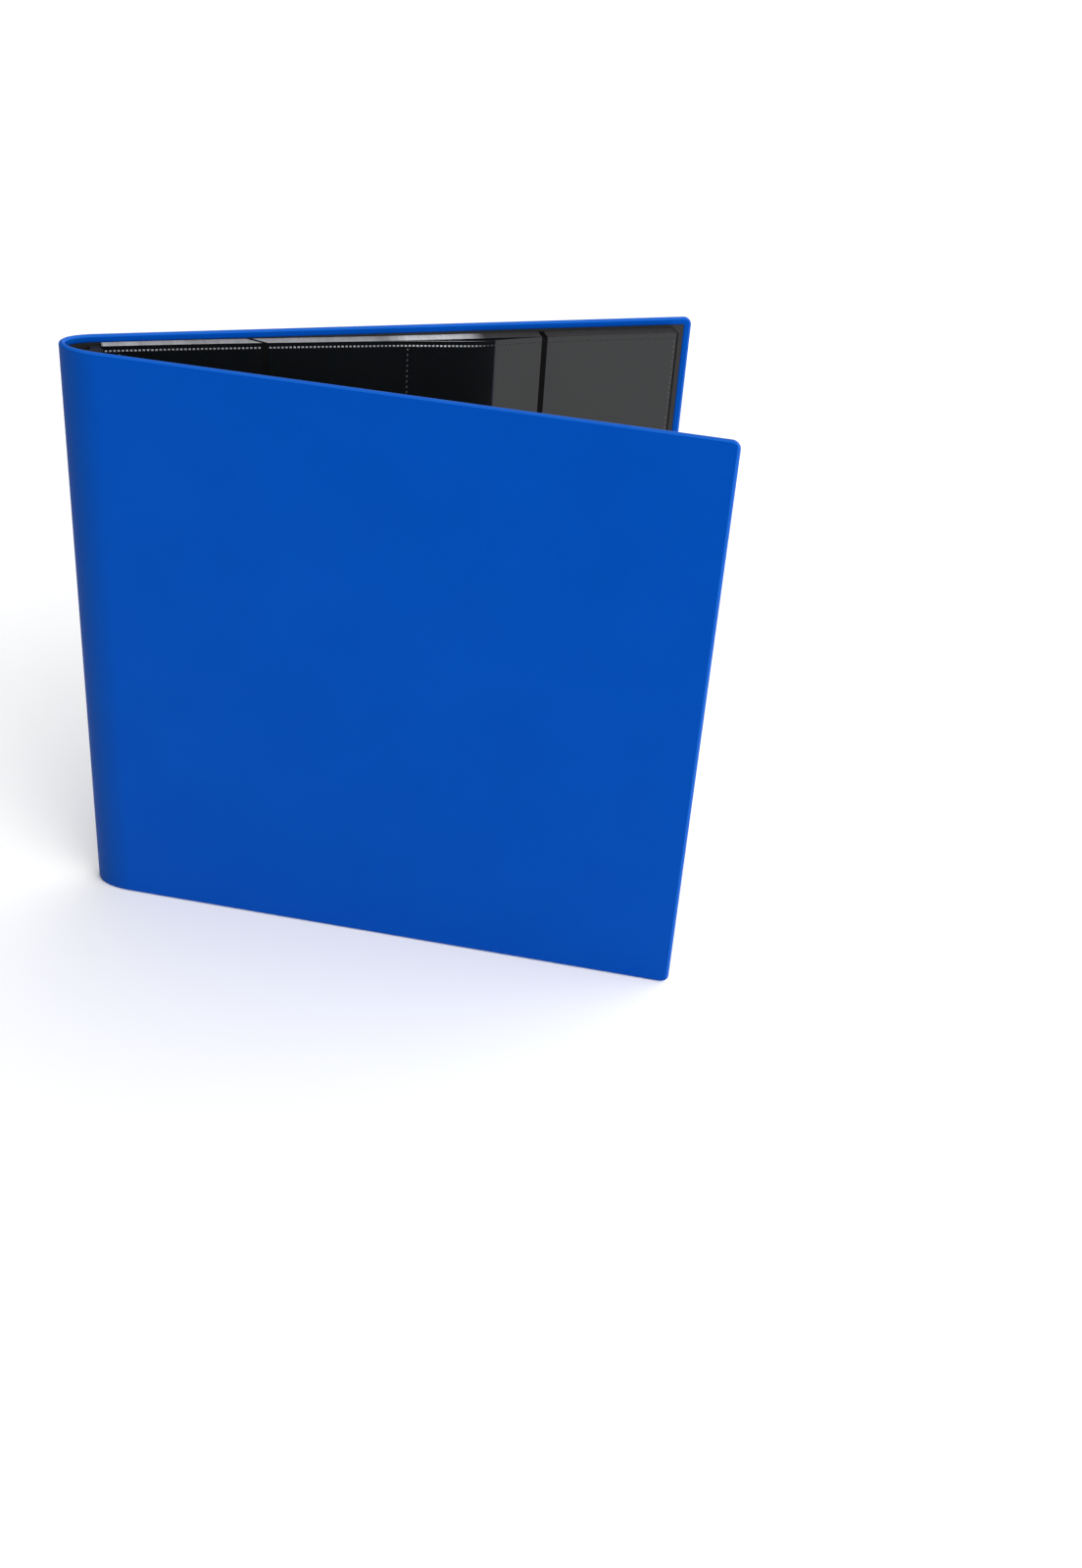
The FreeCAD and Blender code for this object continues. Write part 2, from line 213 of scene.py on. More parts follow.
def product(tree, first, second):
    """Two values multiplied."""
    node = tree.nodes.new("ShaderNodeMath")
    node.operation = "MULTIPLY"
    tree.links.new(first, node.inputs[0])
    tree.links.new(second, node.inputs[1])
    return node.outputs["Value"]


def shade(tree, value, dark, light):
    """A 0 to 1 value mapped to a colour between two."""
    node = tree.nodes.new("ShaderNodeMix")
    node.data_type = "RGBA"
    node.inputs["A"].default_value = (*dark, 1)
    node.inputs["B"].default_value = (*light, 1)
    tree.links.new(value, node.inputs["Factor"])
    return node.outputs["Result"]


def bump(tree, height, distance, strength=1.0, normal=None):
    """A normal that follows height, on top of another normal if one is given."""
    node = add(tree, "ShaderNodeBump", Strength=strength, Distance=distance)
    tree.links.new(height, node.inputs["Height"])
    if normal is not None:
        tree.links.new(normal, node.inputs["Normal"])
    return node.outputs["Normal"]


PEBBLES_PER_METRE = 1300.0
# painted shade round the spine: where it fades in, past the hinge line
SPINE_SHADE_FADE = (-5 * MM, 10 * MM)     # from where to where the spine's tone fades in, past the hinge line


def leatherette(
    name, dark, light, roughness, specular, grain=0.035 * MM, gloss_tint=(1, 1, 1), spine_shade=None
):
    """Coated fabric with a fine pebbled grain, slightly uneven in colour and polish. Round the spine's bend its
    colour is multiplied by the spine shade, a painted shade that stands in for the shade that falls there."""
    material, tree, shader = surface(name, light, roughness[1], specular)
    shader.inputs["Specular Tint"].default_value = (*gloss_tint, 1)
    uv = coordinates(tree)
    cells = add(tree, "ShaderNodeTexVoronoi", Scale=PEBBLES_PER_METRE)
    cells.feature = "SMOOTH_F1"
    tree.links.new(uv, cells.inputs["Vector"])
    soft = noise(tree, uv, 26.0, 4.0)
    fine = noise(tree, uv, 2600.0, 2.0)
    colour = shade(tree, soft, dark, light)
    # painted shade: the colour darkens towards the spine's bend, in place of the shade that falls there
    if spine_shade:
        start, stop = (COVER_WIDTH + past for past in SPINE_SHADE_FADE)
        spine_shaded = tree.nodes.new("ShaderNodeMix")
        spine_shaded.data_type = "RGBA"
        spine_shaded.blend_type = "MULTIPLY"
        spine_shaded.inputs["B"].default_value = (*spine_shade, 1)
        tree.links.new(spread(tree, along_piece(tree, uv), 0.0, 1.0, start, stop), spine_shaded.inputs["Factor"])
        tree.links.new(colour, spine_shaded.inputs["A"])
        colour = spine_shaded.outputs["Result"]
    tree.links.new(colour, shader.inputs["Base Color"])
    tree.links.new(spread(tree, fine, *roughness), shader.inputs["Roughness"])
    pebbles = bump(tree, cells.outputs["Distance"], grain)
    drape = bump(tree, soft, 0.25 * MM, 0.6, pebbles)
    tree.links.new(drape, shader.inputs["Normal"])
    return material


def plastic_film(name, base, roughness, wave=0.10 * MM):
    """Clear glossy film over the black backing."""
    material, tree, shader = surface(name, base, roughness[0])
    shader.inputs["IOR"].default_value = 1.5
    uv = coordinates(tree)
    slow = noise(tree, uv, 22.0, 2.0)
    haze = noise(tree, uv, 160.0, 4.0)
    tree.links.new(spread(tree, haze, *roughness), shader.inputs["Roughness"])
    tree.links.new(bump(tree, slow, wave), shader.inputs["Normal"])
    return material


def woven(name, dark, light, pitch):
    """Narrow woven elastic: close cross ribs over fine warp lines. pitch is the width of a rib and of the gap
    beside it."""
    material, tree, shader = surface(name, dark, 0.9, 0.08)
    shader.inputs["Sheen Weight"].default_value = 0.05
    uv = coordinates(tree)
    wave_scale = math.pi / 20 / pitch     # the wave node turns 20 radians in a unit at scale 1
    lines = []
    for direction, distortion in (("Y", 0.6), ("X", 0.4)):
        wave = add(tree, "ShaderNodeTexWave", Scale=wave_scale, Distortion=distortion, Detail=1.0)
        wave.bands_direction = direction
        tree.links.new(uv, wave.inputs["Vector"])
        lines.append(wave.outputs["Fac"])
    weave = product(tree, *lines)
    tint = product(tree, weave, noise(tree, uv, 900.0, 3.0))
    tree.links.new(shade(tree, tint, dark, light), shader.inputs["Base Color"])
    tree.links.new(bump(tree, weave, 0.12 * MM), shader.inputs["Normal"])
    return material


def plain_grain(name, dark, light, roughness, scale, depth, specular=0.4):
    """A material with fine even grain, for small or hidden pieces. It uses the object's own coordinates."""
    material, tree, shader = surface(name, light, roughness, specular)
    source = tree.nodes.new("ShaderNodeTexCoord")
    grain = noise(tree, source.outputs["Object"], scale, 3.0)
    tree.links.new(shade(tree, grain, dark, light), shader.inputs["Base Color"])
    tree.links.new(bump(tree, grain, depth), shader.inputs["Normal"])
    return material


# Where the painted highlight on the films' edges fades out to dull, and where it brightens: distances along the
# leaf.
DULL_FROM, DULL_TO = 168 * MM, 182 * MM
BRIGHT_FROM, BRIGHT_TO = 132 * MM, 142 * MM


def edge_highlight_material(name, dull, bright, gain, near_binding):
    """Cut edges and welds of the films: a pale edge colour with a painted highlight along it, milky near the
    binding, brightest in the third column, then dull. gain is the range of the uneven painted brightness, and
    near_binding the part of it left near the binding."""
    material, tree, shader = surface(name, bright, 0.5, 0.12)
    uv = coordinates(tree)
    place = along_piece(tree, uv)
    value = spread(tree, noise(tree, uv, 70.0, 4.0, 0.65), *gain)
    value = product(tree, value, spread(tree, place, 1.0, 0.0, DULL_FROM, DULL_TO))
    value = product(tree, value, spread(tree, place, near_binding, 1.0, BRIGHT_FROM, BRIGHT_TO))
    tree.links.new(shade(tree, value, dull, bright), shader.inputs["Base Color"])
    tree.links.new(bump(tree, value, 0.05 * MM), shader.inputs["Normal"])
    return material


# the blue skin carries a painted shade round the spine
blue_skin = leatherette(
    "blue_leatherette", (0.0002, 0.0495, 0.322), (0.0004, 0.0572, 0.357), roughness=(0.50, 0.64),
    specular=0.13, gloss_tint=(0.0, 0.42, 1.0), spine_shade=(0.8, 0.88, 0.78),
)
# painted highlight: a lighter blue on the cover's rounded edges stands in for the light they catch
blue_rim = leatherette(
    "blue_rim", (0.002, 0.068, 0.40), (0.006, 0.095, 0.45), roughness=(0.42, 0.55), specular=0.22,
    gloss_tint=(0.3, 0.7, 1.0),
)
black_lining = leatherette(
    "black_lining", (0.006, 0.006, 0.007), (0.010, 0.010, 0.011), roughness=(0.45, 0.60), specular=0.35
)
film = plastic_film("pocket_film", (0.0035, 0.0045, 0.0055), roughness=(0.045, 0.09))
# pale film edges with a painted highlight: the bright streaky band stands in for light caught along the leaves'
# top edges
film_edge = edge_highlight_material(
    "film_edge", (0.055, 0.052, 0.050), (0.85, 0.85, 0.87), gain=(0.15, 1.5), near_binding=0.42
)
film_side = plain_grain(
    "film_side", (0.002, 0.002, 0.0025), (0.006, 0.006, 0.007), roughness=0.5, scale=300.0, depth=0.01 * MM
)
backing = leatherette(
    "leaf_backing", (0.0015, 0.0015, 0.002), (0.003, 0.003, 0.0035), roughness=(0.6, 0.75), specular=0.06,
    grain=0.015 * MM,
)
# painted glint: the weld studs get a bright grey that stands in for the light their facets catch
row_weld_glint = edge_highlight_material(
    "weld_knurl", (0.03, 0.03, 0.031), (0.62, 0.62, 0.64), gain=(0.1, 1.2), near_binding=0.6
)
column_weld = plain_grain(
    "column_weld", (0.012, 0.012, 0.013), (0.075, 0.075, 0.08), roughness=0.35, scale=260.0, depth=0.02 * MM
)
elastic = woven("black_elastic", (0.003, 0.003, 0.0025), (0.022, 0.021, 0.018), pitch=0.75 * MM)
elastic_line = plain_grain(
    "elastic_edge_line", (0.010, 0.009, 0.007), (0.055, 0.045, 0.036), roughness=0.85, scale=1400.0,
    depth=0.08 * MM,
)
blue_thread = plain_grain(
    "blue_thread", (0.0005, 0.022, 0.15), (0.001, 0.045, 0.28), roughness=0.7, scale=2400.0, depth=0.05 * MM,
    specular=0.05,
)
black_thread = plain_grain(
    "black_thread", (0.008, 0.008, 0.009), (0.03, 0.03, 0.032), roughness=0.6, scale=2400.0, depth=0.05 * MM
)
tape_cloth = plain_grain(
    "binding_tape", (0.008, 0.008, 0.009), (0.022, 0.022, 0.024), roughness=0.85, scale=1500.0,
    depth=0.10 * MM,
)
fused_plastic = plain_grain(
    "fused_margin", (0.006, 0.006, 0.007), (0.02, 0.02, 0.022), roughness=0.35, scale=240.0, depth=0.06 * MM
)

# ---------------------------------------------------------------- the cover's path
# In plan, the cover runs from the front fore edge to the front hinge, round the spine's soft bend and out to
# the back fore edge. Each half is followed from its fore edge inwards, to where the bend is furthest out.
STRAIGHT_STOP = 4.5 * MM     # where the bend begins, beyond each hinge line
BEND_REACH = 21.4 * MM       # how far the bend's handles pull it outwards


def bend_point(t):
    """The bend's middle line: 0 at the front cover, 1 at the back cover. Returns place and direction."""
    start = front_axis + front_way * STRAIGHT_STOP
    stop = back_axis + back_way * STRAIGHT_STOP
    handles = (start, start - front_way * BEND_REACH, stop - back_way * BEND_REACH, stop)
    weights = ((1 - t) ** 3, 3 * t * (1 - t) ** 2, 3 * t * t * (1 - t), t**3)
    place = sum(w * p for w, p in zip(weights, handles))
    weights = (3 * (1 - t) ** 2, 6 * t * (1 - t), 3 * t * t)
    slope = sum(w * (q - p) for w, p, q in zip(weights, handles[:-1], handles[1:]))
    return place, slope / np.linalg.norm(slope)


BEND_STEPS = 400
bend = [bend_point(i / BEND_STEPS) for i in range(BEND_STEPS + 1)]
split = min(range(BEND_STEPS + 1), key=lambda i: bend[i][0][0])


class Half:
    """One half of the cover's path. side is -1 for the front and 1 for the back."""

    def __init__(self, side):
        self.side = side
        self.axis = front_axis if side < 0 else back_axis
        self.way = front_way if side < 0 else back_way
        self.edge = self.axis + self.way * COVER_WIDTH
        self.straight = COVER_WIDTH - STRAIGHT_STOP
        chosen = bend[: split + 1] if side < 0 else bend[split:][::-1]
        self.places = np.array([place for place, _ in chosen])
        self.slopes = np.array([slope for _, slope in chosen])
        steps = np.linalg.norm(np.diff(self.places, axis=0), axis=1)
        self.along = self.straight + np.concatenate([[0], np.cumsum(steps)])
        self.length = self.along[-1]

    def at(self, distance):
        """Place and outward normal at a distance from the fore edge."""
        if distance <= self.straight:
            place, slope = self.edge - self.way * distance, self.way * self.side
        else:
            place = np.array([np.interp(distance, self.along, self.places[:, i]) for i in (0, 1)])
            slope = np.array([np.interp(distance, self.along, self.slopes[:, i]) for i in (0, 1)])
            slope /= np.linalg.norm(slope)
        # the path's slope runs from the front cover to the back cover, with the outside on its left
        return place, np.array([-slope[1], slope[0]])


front_half, back_half = Half(-1), Half(1)


def point_on(half, distance, z, out):
    """The point at a distance and height, and out of the cover's middle layer towards the outside."""
    place, normal = half.at(distance)
    spot = place + normal * out
    return (spot[0], spot[1], z)


# ---------------------------------------------------------------- the cover's two padded halves
# The outer face folds under itself at each strap slit. Each entry is a row of that fold: how many millimetres
# it is above the slit and off the flat face, and what part of the strap's lift it takes.
FOLD = (
    (-6.5, 0.0, 0.0),
    (-5.0, 0.0, 0.10),
    (-3.9, 0.06, 0.24),
    (-3.3, -0.15, 0.36),
    (-2.6, 0.12, 0.50),
    (-1.2, 0.22, 0.86),
    (-0.35, 0.18, 1.00),
    (0.0, -0.12, 1.05),
    (-0.35, -0.42, 1.00),
    (-2.2, -0.50, 0.62),
    (-2.4, -0.75, 0.20),
    (-2.2, -1.05, -0.25),
    (-0.3, -1.12, -0.35),
    (0.8, -1.05, -0.40),
    (2.2, -0.78, -0.35),
    (4.5, -0.34, -0.15),
    (7.0, -0.05, 0.0),
)
STITCH_DROP = 3.05 * MM      # from a slit to the middle of its hem's stitches
STITCH_HALF = 0.15 * MM
PAST_OUTER_STITCH = 3.25 * MM
PAST_INNER_STITCH = 0.75 * MM
fore_edge = COVER_WIDTH + back_axis[0]
upper_slit = hem_low.z + STITCH_DROP + STITCH_HALF
lower_slit = HEIGHT - upper_slit
slit_from = fore_edge - hem_high.x - PAST_OUTER_STITCH
slit_to = fore_edge - hem_low.x + PAST_INNER_STITCH
SLIT_TAPER = 2.6 * MM        # how far to each side of its end a slit narrows
strap_centre = (strap_low.x + strap_high.x) / 2
strap_middle = fore_edge - strap_centre
STRAP_LIFT = 0.95 * MM       # how far the strap lifts the hem
STRAP_HALF = (strap_high.x - strap_low.x) / 2
LIFT_FALL = 17 * MM          # how far beside the strap the hem lies flat again


def half_thickness(distance):
    """Half the cover's thickness, rounded off at the fore edge."""
    return HALF if distance >= HALF else math.sqrt(HALF**2 - (HALF - distance) ** 2)


def corner_inset(distance):
    """How far the rounded corner pulls the top and bottom edges in."""
    if distance >= CORNER_RADIUS:
        return 0.0
    return CORNER_RADIUS - math.sqrt(CORNER_RADIUS**2 - (CORNER_RADIUS - distance) ** 2)


def slit_open(distance):
    """1 along a slit, 0 beyond its ends."""
    opened = ease(distance, slit_from - SLIT_TAPER, slit_from + SLIT_TAPER)
    return opened * (1 - ease(distance, slit_to - SLIT_TAPER, slit_to + SLIT_TAPER))


def strap_lift(distance):
    """1 under the strap, falling to 0 where the hem lies flat again."""
    off = abs(distance - strap_middle)
    return 1 - ease(off, STRAP_HALF - 1.0 * MM, STRAP_HALF + LIFT_FALL)


def fold_rows(distance, slit, upward):
    """The rows of the outer face near one slit, from its middle side to its edge side. upward is 1 or -1."""
    amount = slit_open(distance)
    lift = strap_lift(distance) * STRAP_LIFT
    first, last = FOLD[0][0], FOLD[-1][0]
    rows = []
    for i, (along, out, share) in enumerate(FOLD):
        flat = first + (last - first) * i / (len(FOLD) - 1)
        z = flat * (1 - amount) + along * amount
        rows.append((slit + upward * z * MM, HALF + amount * (out * MM + share * lift)))
    return rows


EDGE_ROWS = (0.0, 0.6, 1.5)     # millimetres past the rounded edge
FACE_STEP = 11 * MM             # the rows' spacing on the outer face's plain part
FRONT_MARGIN = 8 * MM           # from the front cover's edge rows to its plain part
BACK_MARGIN = 4 * MM            # from the back cover's folds to its plain part


def outer_rows(half, distance):
    """The outer face from bottom to top: pairs of height and offset, before the edges are rounded."""
    edge = [HALF + d * MM for d in EDGE_ROWS]
    if half.side < 0:
        middle = spaced(HALF + FRONT_MARGIN, HEIGHT - HALF - FRONT_MARGIN, FACE_STEP)
        flat = edge + middle + [HEIGHT - z for z in reversed(edge)]
        return [(z, HALF) for z in flat]
    low = fold_rows(distance, lower_slit, -1)[::-1]
    high = fold_rows(distance, upper_slit, 1)
    middle = spaced(low[-1][0] + BACK_MARGIN, high[0][0] - BACK_MARGIN, FACE_STEP)
    return (
        [(z, HALF) for z in edge] + low + [(z, HALF) for z in middle] + high
        + [(HEIGHT - z, HALF) for z in reversed(edge)]
    )


BORDER_LIP = ((0.3, 0.0), (0.08, 0.06))     # millimetres outside the lining's window, and how deep
WINDOW_ROW = 1.5 * MM                       # a row just inside the window
WINDOW_MARGIN, WINDOW_STEP = 10 * MM, 20 * MM


def inner_rows(sunk):
    """The inner face from top to bottom: pairs of height and depth. sunk is the window's depth, or 0 in the
    border along the fore edge."""
    low = [(HALF, 0.0)] + [(TURN_IN - away * MM, deep * MM if sunk else 0.0) for away, deep in BORDER_LIP]
    low += [(TURN_IN, sunk), (TURN_IN + WINDOW_ROW, sunk)]
    middle = spaced(HEIGHT - TURN_IN - WINDOW_MARGIN, TURN_IN + WINDOW_MARGIN, WINDOW_STEP)
    return [(HEIGHT - z, deep) for z, deep in low] + [(z, sunk) for z in middle] + low[::-1]


ROUND_STEPS = 8


def cover_section(half, distance):
    """The cover's closed outline at one distance from the fore edge, as pairs of height and offset."""
    thick = half_thickness(distance)
    inset = corner_inset(distance)
    low, high = inset + thick, HEIGHT - inset - thick
    squeeze = (high - low) / (HEIGHT - 2 * HALF)

    def moved(z):
        return low + (z - HALF) * squeeze

    scale = thick / HALF
    outline = [(moved(z), out * scale) for z, out in outer_rows(half, distance)]
    arc = [math.pi * i / ROUND_STEPS for i in range(1, ROUND_STEPS)]
    outline += [(high + thick * math.sin(a), thick * math.cos(a)) for a in arc]
    inner = inner_rows(WINDOW_DEPTH if distance > SIDE_TURN_IN else 0.0)
    outline += [(moved(z), (deep - HALF) * scale) for z, deep in inner]
    outline += [(low - thick * math.sin(a), -thick * math.cos(a)) for a in arc]
    return outline


RIM_ANGLES = (10, 22, 35, 48, 61, 75, 90)     # degrees round the fore edge
# Millimetres from the fore edge, past the rounded rim, close together at the side of the lining's window.
CORNER_STATIONS = (1.9, 2.4, 3.0, 3.6, 4.1, 4.21, 4.3, 4.6, 6.0, 9.0)
SLIT_END_STATIONS = (-2.6, -2.1, -1.6, -1.2, -0.8, -0.4, 0, 0.4, 0.8, 1.2, 1.6, 2.1, 2.6)
COVER_STEP, SLIT_STEP, BEND_STEP = 9 * MM, 1.5 * MM, 0.6 * MM


def cover_stations(half):
    """Distances from the fore edge at which the cover gets a section."""
    rim = [HALF * (1 - math.cos(math.radians(a))) for a in RIM_ANGLES]
    corner = [d * MM for d in CORNER_STATIONS]
    if half.side < 0:
        flat = spaced(14 * MM, half.straight - 6 * MM, COVER_STEP)
    else:
        flat = [at + d * MM for at in (slit_from, slit_to) for d in SLIT_END_STATIONS]
        flat += spaced(slit_from + 4 * MM, slit_to - 4 * MM, SLIT_STEP) + [13 * MM]
        flat += spaced(slit_to + 6 * MM, half.straight - 6 * MM, COVER_STEP)
    curve = spaced(half.straight - 4 * MM, half.length - 0.3 * MM, BEND_STEP)
    seam = [half.length - 0.12 * MM, half.length - 0.04 * MM, half.length]
    return sorted(rim + corner + flat + curve + seam)


def outline_lengths(outline):
    """How far each point is along the outline, for the grain to follow folds."""
    steps = [math.dist(a, b) for a, b in zip(outline, outline[1:])]
    return [0.0, *np.cumsum(steps)]


# the cover's materials: plain skin, the rounded rim with its painted highlight, and the slit's inside painted
# black as shade
SKIN, RIM_HIGHLIGHT, SLIT_SHADE = range(3)     # the materials of a cover's faces
POCKET_ROWS = range(8, 13)     # the rows of FOLD that line the slit's inside


def cover_face_kind(half, rows, stations, count, outer):
    """The material of one face: the cover's skin, its rounded rim with a painted highlight, or the black lining
    material painted into a slit's inside as shade. rows are its corners' places in the section, which has count
    points, outer of them on the outer face."""
    if all(outer <= row <= outer + ROUND_STEPS - 2 for row in rows):
        return RIM_HIGHLIGHT
    if all(row >= count - ROUND_STEPS + 1 for row in rows):
        return RIM_HIGHLIGHT
    # painted shade: the fold rows inside the slit take the black lining material, which deepens the slit's
    # shadow
    if half.side > 0 and all(slit_from < distance < slit_to for distance in stations):
        upper_first = outer - len(EDGE_ROWS) - len(FOLD)
        lower_last = len(EDGE_ROWS) + len(FOLD) - 1
        if all(row - upper_first in POCKET_ROWS for row in rows):
            return SLIT_SHADE
        if all(lower_last - row in POCKET_ROWS for row in rows):
            return SLIT_SHADE
    return RIM_HIGHLIGHT if max(stations) < HALF else SKIN


def cover_half(name, half):
    """The padded cover from its fore edge to the middle of the spine."""
    sections, uvs = [], []
    stations = cover_stations(half)
    for distance in stations:
        outline = cover_section(half, distance)
        sections.append([point_on(half, distance, z, out) for z, out in outline])
        uvs.append([(distance, length) for length in outline_lengths(outline)])
    obj = loft(name, sections, uvs)
    finish_piece(obj, (blue_skin, blue_rim, black_lining))
    count = len(sections[0])
    outer = len(outer_rows(half, HALF))
    for polygon in obj.data.polygons:
        if len(polygon.vertices) == 4:
            rows = [v % count for v in polygon.vertices]
            at = [stations[v // count] for v in polygon.vertices]
            polygon.material_index = cover_face_kind(half, rows, at, count, outer)
    return obj


LINING_GAP = 0.12 * MM      # between the lining and the border round it
LINING_BACK = 0.04 * MM     # between the lining's back and the window behind it


def lining_half(name, half):
    """The thin black lining sunk between the turned-in edges. It stops where the two halves meet."""
    low, high = TURN_IN + LINING_GAP, HEIGHT - TURN_IN - LINING_GAP
    face, back = LINING_SUNK - HALF, WINDOW_DEPTH + LINING_BACK - HALF
    rows = [low, low + 0.3 * MM, low + 2 * MM]
    rows += spaced(low + 12 * MM, high - 12 * MM, 20 * MM) + [high - 2 * MM, high - 0.3 * MM, high]
    start = SIDE_TURN_IN + LINING_GAP
    # every third of the cover's stations is enough where the lining is flat
    flat = [d for d in cover_stations(half) if d > start + 4 * MM]
    flat = [d for i, d in enumerate(flat) if d > half.straight - 8 * MM or i % 3 == 0]
    sections, uvs = [], []
    for distance in [start, start + 0.3 * MM, start + 3 * MM] + flat:
        outline = [(z, face) for z in reversed(rows)] + [(z, back) for z in rows]
        sections.append([point_on(half, distance, z, out) for z, out in outline])
        uvs.append([(distance, z) for z, _ in outline])
    return finish_piece(loft(name, sections, uvs), [black_lining])


def blend_half(obj):
    """Bakes the piece's placement into its mesh."""
    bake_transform(obj)


front_cover = cover_half("front_cover_padding", front_half)
blend_half(front_cover)
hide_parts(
    "front_cover_skin", "front_cover_foam", "front_cover_board", "front_crease",
    "spine_skin", "spine_foam",
)
back_cover = cover_half("back_cover_padding", back_half)
blend_half(back_cover)
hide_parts("back_cover_skin", "back_cover_foam", "back_cover_board", "back_crease")
front_lining = lining_half("front_cover_lining_sheet", front_half)
blend_half(front_lining)
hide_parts("front_cover_lining", "spine_lining")
back_lining = lining_half("back_cover_lining_sheet", back_half)
blend_half(back_lining)
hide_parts("back_cover_lining")


# ---------------------------------------------------------------- pocket leaves
LEAF_THICK = 0.22 * MM      # backing and both films
SHEET_HALF = 0.04 * MM      # half the backing's thickness
FILM_THICK = 0.07 * MM
block_low, block_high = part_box("binding_block")
LEAF_BOTTOM, LEAF_TOP, BLOCK_RIGHT = block_low.z, block_high.z, block_high.x
LEAF_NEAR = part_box("leaf_01")[0].x
POCKET_PITCH = 70.9 * MM
OPENING_HALF = 1.5 * MM     # half the width of a pocket opening
WELD_INSET = 2.5 * MM       # from a leaf's top and bottom edges to the welds along them
WELD_PITCH = (LEAF_TOP - LEAF_BOTTOM - 2 * WELD_INSET) / 3
weld_rows = [LEAF_BOTTOM + WELD_INSET + i * WELD_PITCH for i in range(4)]
RISE = 1.4 * MM             # how far a leaf's top stands up near the binding, where the films are fused
RISE_FALL = 170 * MM        # the distance at which the top is level again
HOOK = 0.35 * MM            # the step of the first opening from one leaf to the next

# The top leaf waves away from the stack: (distance, height of the wave) in millimetres.
WAVE = (
    (-10.0, 0.0), (60.0, 0.0), (105.0, 0.05), (130.0, 0.30), (146.0, 1.05), (160.0, 2.25), (170.0, 3.15),
    (176.5, 3.55), (181.0, 3.58), (185.6, 3.20), (191.6, 2.38), (197.6, 1.66), (203.6, 1.07), (210.6, 0.57),
    (215.6, 0.34), (222.0, 0.19), (230.0, 0.10), (245.0, 0.04), (262.0, 0.01), (290.0, 0.0),
)
wave_line = np.array(smooth_line(WAVE, 6)).T


class Leaf:
    """One leaf's place at rest: a straight line in plan from the binding to the fore edge. Leaf 1 lies next
    to the back cover, and the last leaf is the one on top."""

    def __init__(self, number):
        self.name = f"leaf_{number:02d}"
        self.on_top = number == LEAVES
        # the openings step towards the binding from leaf to leaf, down through the stack
        self.shift = HOOK * (number - LEAVES)
        low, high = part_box(self.name)
        near = np.array([low.x, high.y - LEAF_THICK / 2])
        far = np.array([high.x, low.y + LEAF_THICK / 2])
        self.near = near
        self.length = np.linalg.norm(far - near)
        self.way = (far - near) / self.length
        self.front = np.array([self.way[1], -self.way[0]])

    def at(self, distance, z, out):
        """A point at a distance and height, and out of the leaf's middle layer to the front."""
        if self.on_top:
            out += np.interp(distance / MM, *wave_line) * MM
        spot = self.near + self.way * distance + self.front * out
        lifted = z + RISE * (z - LEAF_BOTTOM) / (LEAF_TOP - LEAF_BOTTOM) * (1 - ease(distance, 0, RISE_FALL))
        return (spot[0], spot[1], lifted)


# The kinds of faces of a leaf, which are also the places of their materials on the films.
FACE, CUT_EDGE, STUD, SIDE_EDGE, UPRIGHT_STUD = range(5)


class Sheet:
    """The points, faces, UVs and kinds of faces of one piece of a leaf, while it is being put together."""

    def __init__(self, leaf):
        self.leaf = leaf
        self.points, self.faces, self.uvs, self.kinds = [], [], [], []

    def slab(self, along, rows, low, high):
        """Adds a closed thin layer. low and high give the offsets of its two faces."""
        first = len(self.points)
        across, up = len(along), len(rows)
        for offset in (low, high):
            for d in along:
                for z in rows:
                    self.points.append(self.leaf.at(d, z, offset(d, z)))
                    self.uvs.append((d, z))

        def index(side, i, j):
            return first + (side * across + i) * up + j

        for i in range(across - 1):
            for j in range(up - 1):
                for side in (0, 1):
                    corners = ((i, j), (i + 1, j), (i + 1, j + 1), (i, j + 1))
                    self.faces.append(tuple(index(side, a, b) for a, b in corners))
                    self.kinds.append(FACE)
        border = [(i, 0) for i in range(across)] + [(across - 1, j) for j in range(1, up)]
        border += [(i, up - 1) for i in reversed(range(across - 1))]
        border += [(0, j) for j in reversed(range(1, up - 1))]
        for (a, b), (c, d) in zip(border, border[1:] + border[:1]):
            self.faces.append((index(0, a, b), index(0, c, d), index(1, c, d), index(1, a, b)))
            self.kinds.append(CUT_EDGE if b == d else SIDE_EDGE)

    def stud(self, distance, z, base, height, half_along, half_up, kind):
        """Adds one small weld stud: a closed four-sided pyramid."""
        first = len(self.points)
        for da, dz in ((-1, -1), (1, -1), (1, 1), (-1, 1)):
            self.points.append(self.leaf.at(distance + da * half_along, z + dz * half_up, base))
        self.points.append(self.leaf.at(distance, z, base + height))
        self.uvs.extend([(distance, z)] * 5)
        for i in range(4):
            self.faces.append((first + i, first + (i + 1) % 4, first + 4))
        self.faces.append(tuple(first + i for i in range(4)))
        self.kinds.extend([kind] * 5)

    def piece(self, name, smooth):
        return new_mesh(name, self.points, self.faces, smooth, self.uvs)


INNER_BULGE = 0.03 * MM
TOP_BULGE = 0.25 * MM
# How far from a weld the film starts to rise, and where it stands free: beside the row and the column welds.
ROW_RISE = (0.9 * MM, 16 * MM)
COLUMN_RISE = (1.5 * MM, 26 * MM)


def pocket_bulge(leaf, distance, z, side):
    """How far the film stands off the backing. It is held along the welds and free at the openings."""
    row = min(max((z - weld_rows[0]) / WELD_PITCH, 0), 3)
    upright = 0.0
    if 0 < row < 3:
        near_weld = min(row - math.floor(row), math.ceil(row) - row) * WELD_PITCH
        upright = ease(near_weld, *ROW_RISE)
    column = distance / POCKET_PITCH
    to_weld = min(abs(column), abs(column - 2), abs(column - 4)) * POCKET_PITCH
    rise = TOP_BULGE if leaf.on_top and side > 0 and column < 2 else INNER_BULGE
    return rise * upright * ease(to_weld, *COLUMN_RISE)


